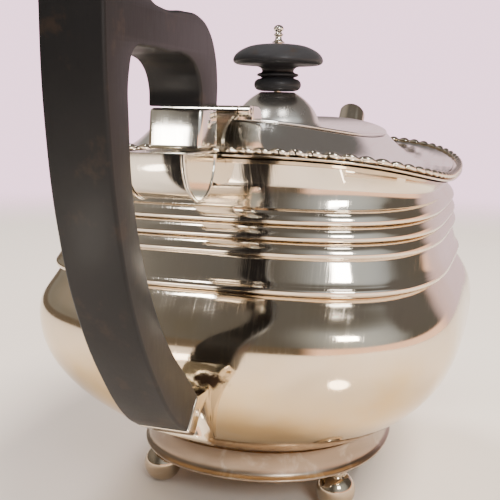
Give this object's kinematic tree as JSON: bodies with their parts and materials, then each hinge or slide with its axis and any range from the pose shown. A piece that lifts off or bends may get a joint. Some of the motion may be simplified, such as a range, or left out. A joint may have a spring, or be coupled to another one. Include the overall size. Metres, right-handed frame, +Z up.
{
  "type": "silver teapot",
  "caption": "Low oblong silver teapot on ball feet with a reeded girdle, gadroon border, hinged lid, and an ebonised wooden handle and knob.",
  "frame": {"origin": "on the table, under the middle of the body", "axes": "+Z up, -X towards the handle, +X towards the spout"},
  "size_m": [0.2441, 0.119, 0.143],
  "materials": {
    "silver": "polished silver with fine wear and slight yellow tarnish",
    "silver_dull": "unpolished silver on hidden fittings",
    "ebonised_wood": "black stained hardwood, satin, worn brown at the edges"
  },
  "bodies": {
    "pot": {"bowl": "silver", "reeded_girdle": "silver", "gadroon_border": "silver", "shoulder_collar": "silver", "foot_ring": "silver", "ball_foot_handle_left": "silver", "ball_foot_handle_right": "silver", "ball_foot_spout_left": "silver", "ball_foot_spout_right": "silver", "hinge_leaf_body": "silver", "hinge_pin": "silver_dull", "handle": "ebonised_wood", "upper_socket": "silver", "handle_bracket": "silver", "bracket_cap_left": "silver", "bracket_cap_right": "silver", "lower_socket": "silver", "handle_pin_upper": "silver", "handle_pin_lower": "silver", "spout": "silver"},
    "lid": {"lid_plate": "silver", "lid_bezel": "silver_dull", "lid_dome": "silver", "knob": "ebonised_wood", "finial_bolt": "silver", "knob_washer": "silver_dull", "knob_nut": "silver_dull", "hinge_leaf_lid": "silver"}
  },
  "joints": [
    {"name": "lid_hinge", "type": "hinge", "parent": "pot", "child": "lid", "pos_m": [-0.06, 0, 0.1125], "axis": [0, -1, 0], "range_deg": [0, 100]}
  ]
}
